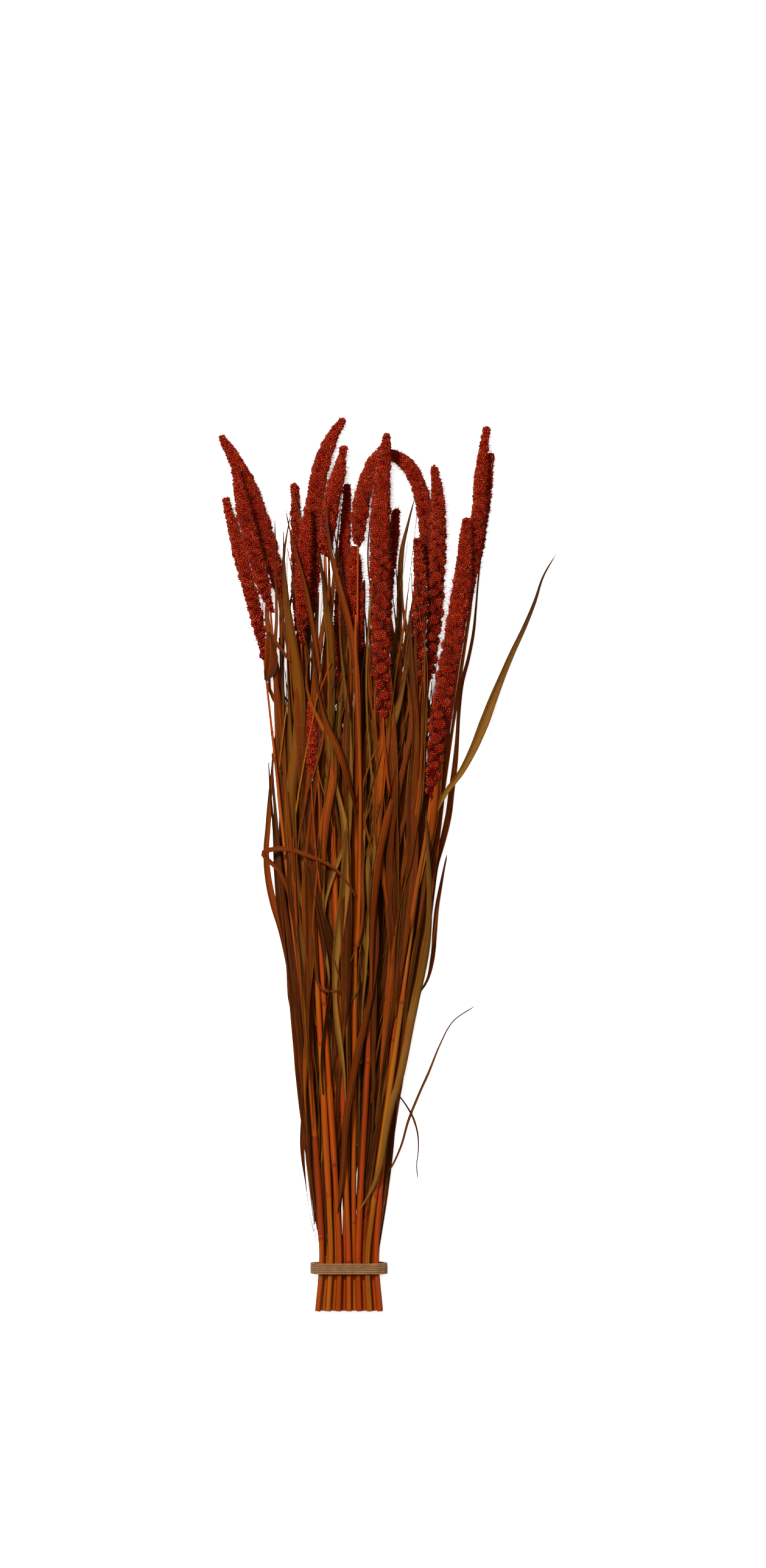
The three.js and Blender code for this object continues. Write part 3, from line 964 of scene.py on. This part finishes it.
# Hues of the leaves, from 0 for umber over brown, russet, amber and olive to 1 for gold.
LEAF_HUES = {
    "leaf_long_right": 0.95,
    "leaf_centre_spear": 0.75,
    "leaf_gold": 0.8,
    "leaf_olive": 0.85,
    "leaf_right_broad": 0.9,
    "leaf_front_broad": 0.3,
    "leaf_folded": 0.45,
    "leaf_orange": 0.48,
    "leaf_brown_right": 0.22,
    "leaf_tendril": 0.05,
    "leaf_hanging": 0.4,
    "leaf_low_stalk": 0.2,
    "leaf_right_edge": 0.4,
}

# The leaf that is broad in its middle, and withered from there to its tip.
WITHERED_LEAF = "leaf_long_right"


def add_blade(shape, line, half, thickness, trough, roll, tint, rng):
    """A thin blade along a line: troughed, rolled about its line and wavy at its edges."""
    _, aside, above = directions(line)
    turn = np.asarray(roll)[:, None]
    right = aside * np.cos(turn) + above * np.sin(turn)
    top = above * np.cos(turn) - aside * np.sin(turn)
    across = np.linspace(1, -1, BLADE_POINTS)
    far = lengths(line)
    ripple = 0
    for (height, reach, growth), wave in zip(RIPPLES, rng.uniform(0, 2 * math.pi, len(RIPPLES))):
        ripple = ripple + height * np.sin(far[:, None] / reach + wave) * across**growth
    lift = (np.asarray(trough)[:, None] * np.abs(across) ** 1.6 + ripple) * half[:, None]
    lift = lift - lift.mean(1, keepdims=True)
    wide = right[:, None] * (across * half[:, None])[..., None]
    sheet = line[:, None] + wide + top[:, None] * lift[..., None]
    sheet[..., 2] = np.maximum(sheet[..., 2], thickness)
    body = top[:, None] * thickness / 2
    rings = np.concatenate((sheet + body, (sheet - body)[:, ::-1]), 1)
    sideways = np.concatenate((across, across[::-1]))
    spot = np.broadcast_arrays(sideways * half[:, None], far[:, None], (far / far[-1])[:, None])
    skin(
        shape,
        rings,
        blade=np.stack(spot, -1).reshape(-1, 3),
        side=np.tile(sideways, len(line)),
        tint=np.broadcast_to(tint, (len(line), 3)),
    )


def wander(count, size, rng):
    """A smooth random curve about zero, of that size."""
    along = np.linspace(0, 2 * math.pi, count)
    waves = [rng.normal() * np.sin(turns * along + rng.uniform(0, 2 * math.pi)) for turns in (0.5, 1, 1.7)]
    return size * sum(waves)


class MILLET_OT_leaves(bpy.types.Operator):
    """Makes the leaves that stand out from the bunch or lie on its front"""

    bl_idname = "millet.leaves"
    bl_label = "Leaves"

    def execute(self, context):
        s = context.scene.millet_leaves
        material = leaf_paint(s)
        for number, node in enumerate(LEAVES):
            shape = Shape()
            self.add_leaf(shape, s, node, np.random.default_rng(LEAF_SEED + number))
            shape.piece(f"millet_{node}", "leaf", [material], [node])
        return {"FINISHED"}

    @staticmethod
    def add_leaf(shape, s, node, rng):
        """A leaf on its CAD node's line, narrower at its ends and of uneven width."""
        line, half = blade_spine(node, LEAF_STEP)
        count = len(line)
        share = np.linspace(0, 1, count)
        half = np.interp(share, (0, 0.08, 0.97, 1), (0.3, 1, 1, 0.25)) * half
        half = half * (0.88 + 0.12 * np.cos(rng.uniform(0, 6) + rng.uniform(4, 9) * share))
        hue = LEAF_HUES.get(node, rng.uniform(0.15, 0.5))
        dark = np.full(count, rng.uniform(0, 0.25))
        if node == WITHERED_LEAF:
            dark = dark + 0.6 * ease(share, 0.4, 0.9)
            half = half * np.interp(share, (0, 0.3, 0.5, 0.65, 1), (0.7, 0.65, 0.95, 0.7, 0.8))
        tint = np.stack((np.full(count, hue), dark, np.full(count, rng.random())), -1)
        trough = 0.35 + wander(count, 0.12, rng)
        roll = wander(count, 0.3, rng)
        add_blade(shape, line, half, s.thickness, trough, roll, tint, rng)


# Small leaves


# The sets of small leaves, from the back to the front: the layer of stems that each lies on, how many there
# are, where their feet stand, how dark they are at least and at most, in painted shade that is deeper for
# the sets further back, and their least half width.
SMALL_LEAVES = (
    ("back", 0, 150, (-0.335, -0.2), (0.6, 1.0), 0.0034),
    ("upper", 0, 56, (-0.12, 0.03), (0.35, 0.95), 0.0026),
    ("middle", 1, 78, (-0.32, -0.04), (0.15, 0.8), 0.0),
    ("front", 2, 46, (-0.22, 0.02), (0.05, 0.55), 0.0),
)

# How long a small leaf is, how far along the bunch its tip may be, the half widths to choose from, and how
# far apart the points along it are.
SMALL_LENGTHS = (0.28, 0.52)
SMALL_TIPS = (0.14, 0.31)
SMALL_HALF_WIDTHS = (0.0006, 0.0013, 0.0022, 0.003, 0.0038, 0.0046)
SMALL_STEP = 0.008

# How high a small leaf lies over its stems at its foot, how much further it may rise, how much it wavers on
# its way, and how far its edge stays from the middle of a stem that is in sight.
SMALL_LIFT = 0.0008
SMALL_RISE = 0.0032
SMALL_WAVE = 0.0008
SMALL_CLEARANCE = 0.002

# The hue that small leaves turn to at their tips, between amber and olive.
TIP_HUE = 0.72

# How wide the foliage is at some places along the bunch: place along, left edge and right edge.
FOLIAGE = np.array(
    (
        (-0.330, -0.058, -0.008),
        (-0.242, -0.068, 0.003),
        (-0.152, -0.074, 0.013),
        (-0.092, -0.080, 0.026),
        (-0.032, -0.087, 0.030),
        (0.058, -0.095, 0.043),
        (0.200, -0.102, 0.055),
    )
)

# Leaves with a place of their own, by the set they belong to: dark ones behind the seed heads, whose
# darkness is painted shade, and the two halves of the leaf folded over at the left edge. Each is its tint,
# and then the places across, the places along and the half widths of points on it.
PLACED_LEAVES = {
    "upper": (
        (
            (0.15, 0.8, 0.3),
            (-0.0199, -0.0216, -0.0226, -0.0234),
            (0.2334, 0.1834, 0.1234, 0.0484),
            (0.0008, 0.0034, 0.0042, 0.0036),
        ),
        (
            (0.2, 0.75, 0.7),
            (0.0146, 0.0154, 0.0129, 0.0096),
            (0.1934, 0.1484, 0.0984, 0.0484),
            (0.0008, 0.0036, 0.0042, 0.0036),
        ),
        (
            (0.3, 0.45, 0.2),
            (-0.0574, -0.0599, -0.0619, -0.0629),
            (0.2234, 0.1784, 0.1234, 0.0734),
            (0.0008, 0.0030, 0.0034, 0.0028),
        ),
        (
            (0.2, 0.7, 0.4),
            (-0.0384, -0.0359, -0.0329, -0.0299),
            (0.2134, 0.1684, 0.1184, 0.0534),
            (0.0008, 0.0032, 0.0038, 0.0034),
        ),
    ),
    "front": (
        (
            (0.35, 0.2, 0.3),
            (-0.0980, -0.0965, -0.0955, -0.0975, -0.1000),
            (0.1900, 0.1800, 0.1680, 0.1570, 0.1505),
            (0.0010, 0.0040, 0.0056, 0.0047, 0.0014),
        ),
        (
            (0.35, 0.2, 0.3),
            (-0.0800, -0.0900, -0.0980),
            (0.1660, 0.1790, 0.1900),
            (0.0010, 0.0018, 0.0012),
        ),
    ),
}

# How high these leaves lie over their stems.
PLACED_LIFT = 0.006


class MILLET_OT_small_leaves(bpy.types.Operator):
    """Makes the small leaves that fill the bunch between its stems"""

    bl_idname = "millet.small_leaves"
    bl_label = "Small leaves"

    def execute(self, context):
        s = context.scene.millet_leaves
        material = bpy.data.materials["dry_leaf"]
        layers = stem_layers()
        shown = [spine(node, LAYER_STEP)[0] for node in SHOWN_STEMS]
        for name, layer, count, feet, dark, least in SMALL_LEAVES:
            stems = layers[layer]
            clear = shown if layer else []
            rng = np.random.default_rng(s.seed + count)
            shape = Shape()
            for place in (np.arange(count) + 0.5) / count * 2 - 1:
                foot = rng.uniform(*feet)
                tint = (rng.random() ** 1.25, rng.uniform(*dark), rng.random())
                self.add_leaf(shape, s, stems, clear, place, foot, least, tint, rng)
            for tint, *columns in PLACED_LEAVES.get(name, ()):
                self.add_placed(shape, s, stems, tint, columns, rng)
            shape.piece(f"small_leaves_{name}", "leaf", [material])
        return {"FINISHED"}

    @staticmethod
    def add_placed(shape, s, stems, tint, columns, rng):
        """A leaf through some points, with a half width at each."""
        last = len(columns[0]) - 1
        along = np.linspace(0, last, 14)
        x, y, half = (np.interp(along, range(last + 1), column) for column in columns)
        z = stem_tops(stems, y) + PLACED_LIFT
        trough = 1 + wander(len(y), 0.2, rng)
        roll = wander(len(y), 0.3, rng)
        add_blade(shape, np.stack((x, y, z), -1), half, s.thickness, trough, roll, tint, rng)

    @staticmethod
    def add_leaf(shape, s, stems, clear, place, foot, least, tint, rng):
        """A leaf at a place across the foliage, from -1 at its left edge to 1 at its right."""
        tip = min(foot + rng.uniform(*SMALL_LENGTHS), rng.uniform(*SMALL_TIPS) - 0.06 * max(0, place) ** 3)
        y = np.arange(foot, tip, SMALL_STEP)
        share = (y - foot) / (tip - foot)
        left, right = (np.interp(y, FOLIAGE[:, 0], FOLIAGE[:, side]) for side in (1, 2))
        spot = place * 0.95 + rng.normal(0, 0.3) * share**1.3 + wander(len(y), 0.06, rng)
        limit = rng.uniform(0.72, 1.02)
        x = (left + right) / 2 + np.clip(spot, -limit, limit) * (right - left) / 2
        widest = max(rng.choice(SMALL_HALF_WIDTHS) * rng.uniform(0.85, 1.15), least)
        for shown in clear:
            middle = np.interp(y, shown[:, 1], shown[:, 0])
            aside = x - middle
            x = middle + np.sign(aside.mean()) * np.hypot(aside, widest + SMALL_CLEARANCE)
        z = stem_tops(stems, y) + SMALL_LIFT + rng.uniform(0, SMALL_RISE) * ease(share, 0, 0.2)
        z = z + np.abs(wander(len(y), SMALL_WAVE, rng))
        half = widest * (0.15 + 0.85 * ease(share, 0, 0.25)) * (1 - 0.94 * ease(share, 0.62, 1.03))
        half = half * (0.4 + 0.6 * np.abs(np.cos(rng.uniform(0, math.pi) + rng.uniform(0, 7) * share)))
        hue, dark, chance = tint
        # Painted shade: the darkness of the set, less towards the seed heads, and less at the outer edges
        # of the foliage where the leaves are lit.
        shade = dark * (1 - 0.75 * ease(y, -0.06, 0.1)) * (1 - 0.5 * place**4)
        turning = hue + (TIP_HUE - hue) * 0.5 * ease(y, 0.03, 0.18)
        tint = np.stack((turning, shade, np.full(len(y), chance)), -1)
        trough = 0.4 + wander(len(y), 0.2, rng)
        roll = wander(len(y), 0.45, rng)
        add_blade(shape, np.stack((x, y, z), -1), half, s.thickness, trough, roll, tint, rng)


# The tie


# Points round the twine, and along one turn of it.
TWINE_SIDES = 10
TURN_POINTS = 160

# The twine's radius, by the room that one turn has, and the length in which its two strands twist by half a
# radian.
TWINE_RADIUS = 0.54
TWIST = 0.0016


class MILLET_OT_tie(bpy.types.Operator):
    """Makes the turns of twine round the stems"""

    bl_idname = "millet.tie"
    bl_label = "Tie"

    def execute(self, context):
        s = context.scene.millet_tie
        material = twine_paint(s)
        low, high = (np.array(corner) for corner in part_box(TIE))
        thick = (high[1] - low[1]) / s.turns
        radius = thick * TWINE_RADIUS
        shape = Shape()
        for turn in range(s.turns):
            rng = np.random.default_rng(TIE_SEED + turn)
            y = low[1] + (turn + 0.5) * thick
            path = self.loop(low + radius, high - radius, y)
            far = lengths(np.concatenate((path, path[:1])))
            angle = np.arange(TWINE_SIDES) / TWINE_SIDES * 2 * math.pi
            strand = np.cos(2 * angle + (far[:-1] / TWIST)[:, None])
            rings = round_rings(path, radius * (0.93 + 0.07 * strand), TWINE_SIDES, ALONG_Y)
            grain = around(path, np.full(len(path), radius), TWINE_SIDES) + rng.random(3)
            skin(shape, rings, closed=True, grain=grain)
        shape.piece("millet_tie", "twine", [material], [TIE])
        return {"FINISHED"}

    @staticmethod
    def loop(low, high, y):
        """Points round the tie: flat above and below, round at its ends."""
        bend = (high[2] - low[2]) / 2
        centre = (low[2] + high[2]) / 2
        turn = np.linspace(-math.pi / 2, math.pi / 2, 40)
        right = np.stack((high[0] - bend + bend * np.cos(turn), centre + bend * np.sin(turn)), -1)
        left = np.stack((low[0] + bend - bend * np.cos(turn), centre - bend * np.sin(turn)), -1)
        outline = np.concatenate((right, left, right[:1]))
        steps = np.linspace(0, lengths(outline)[-1], TURN_POINTS, endpoint=False)
        x, z = (np.interp(steps, lengths(outline), outline[:, axis]) for axis in (0, 1))
        return np.stack((x, np.full(len(x), y), z), -1)


# The stage


# The lights, as places from the middle of the frame and widths, and how far the floor reaches each way.
SOFTBOX_PLACE = np.array((-0.6, 0.8, 5.2))
SOFTBOX_WIDTH = 2.4
KEY_PLACE = np.array((-0.9, 1.1, 2.8))
KEY_WIDTH = 0.25
FLOOR_REACH = 6


class MILLET_OT_stage(bpy.types.Operator):
    """Makes the floor, the lights and the camera, which looks straight down on the bunch"""

    bl_idname = "millet.stage"
    bl_label = "Stage"

    def execute(self, context):
        s = context.scene.millet_stage
        scene = context.scene
        scene.view_settings.view_transform = "Standard"
        self.add_floor(s)
        world = bpy.data.worlds.new("studio")
        world.use_nodes = True
        background = world.node_tree.nodes["Background"]
        background.inputs["Color"].default_value = (1, 1, 1, 1)
        background.inputs["Strength"].default_value = s.ambient
        scene.world = world
        world.cycles_visibility.glossy = False
        middle = self.frame_middle()
        softbox = self.add_light("softbox", middle + SOFTBOX_PLACE, middle, SOFTBOX_WIDTH, s.softbox)
        softbox.visible_glossy = False
        self.add_light("key", middle + KEY_PLACE, middle, KEY_WIDTH, s.key)
        camera = bpy.data.cameras.new("camera")
        camera.sensor_fit = "VERTICAL"
        camera.angle_y = 2 * math.atan(PHOTO_SIZE[1] * PIXEL / 2 / s.camera_height)
        seen = bpy.data.objects.new("camera", camera)
        seen.location = (middle[0], middle[1], s.camera_height)
        scene.collection.objects.link(seen)
        scene.camera = seen
        return {"FINISHED"}

    @staticmethod
    def frame_middle():
        """The point on the floor in the middle of the photograph."""
        right = CAD_BOX[1][0] - (LEAF_TIP_COLUMN - PHOTO_SIZE[0] / 2) * PIXEL
        up = CAD_BOX[1][1] - (PHOTO_SIZE[1] / 2 - TIP_ROW) * PIXEL
        return np.array((right, up, 0.0))

    @staticmethod
    def add_floor(s):
        """The pale floor, which also glows a little."""
        mesh = bpy.data.meshes.new("floor")
        solid = bmesh.new()
        bmesh.ops.create_grid(solid, x_segments=1, y_segments=1, size=FLOOR_REACH)
        solid.to_mesh(mesh)
        solid.free()
        glow = {"Emission Color": (1, 1, 1, 1), "Emission Strength": s.glow}
        paint = Paint("floor", {"Roughness": 0.9, "Specular IOR Level": 0.0, **glow})
        grain = paint.noise(paint.place(), 40)
        shade = tuple(channel * 0.985 for channel in s.floor)
        mesh.materials.append(paint.finish(base_color=paint.mix(grain, tuple(s.floor), shade)))
        floor = bpy.data.objects.new("floor", mesh)
        floor.visible_glossy = False
        bpy.context.collection.objects.link(floor)

    @staticmethod
    def add_light(name, place, target, size, power):
        """A square light that shines at a point."""
        light = bpy.data.lights.new(name, "AREA")
        light.size = size
        light.energy = power
        lamp = bpy.data.objects.new(name, light)
        lamp.location = place
        away = place - target
        lamp.rotation_euler = (
            math.atan2(math.hypot(away[0], away[1]), away[2]),
            0,
            math.atan2(away[0], -away[1]),
        )
        bpy.context.collection.objects.link(lamp)
        return lamp


class MILLET_PT_bunch(bpy.types.Panel):
    """The bunch's settings and pieces"""

    bl_idname = "MILLET_PT_bunch"
    bl_label = "Millet bunch"
    bl_space_type = "VIEW_3D"
    bl_region_type = "UI"
    bl_category = "Millet"

    def draw(self, context):
        for key, group in SETTINGS.items():
            column = self.layout.column(align=True)
            for name in group.__annotations__:
                column.prop(getattr(context.scene, key), name)
        for operator in OPERATORS:
            self.layout.operator(operator.bl_idname)


OPERATORS = (
    MILLET_OT_heads,
    MILLET_OT_stems,
    MILLET_OT_leaves,
    MILLET_OT_small_leaves,
    MILLET_OT_tie,
    MILLET_OT_stage,
)
CLASSES = (*SETTINGS.values(), *OPERATORS, MILLET_PT_bunch)


def register():
    for one in CLASSES:
        bpy.utils.register_class(one)
    for key, group in SETTINGS.items():
        setattr(bpy.types.Scene, key, PointerProperty(type=group))


def unregister():
    for key in SETTINGS:
        delattr(bpy.types.Scene, key)
    for one in reversed(CLASSES):
        bpy.utils.unregister_class(one)


def main():
    register()
    bpy.ops.millet.heads()
    bpy.ops.millet.stems()
    bpy.ops.millet.leaves()
    bpy.ops.millet.small_leaves()
    bpy.ops.millet.tie()
    bpy.ops.millet.stage()


if __name__ == "__main__":
    main()
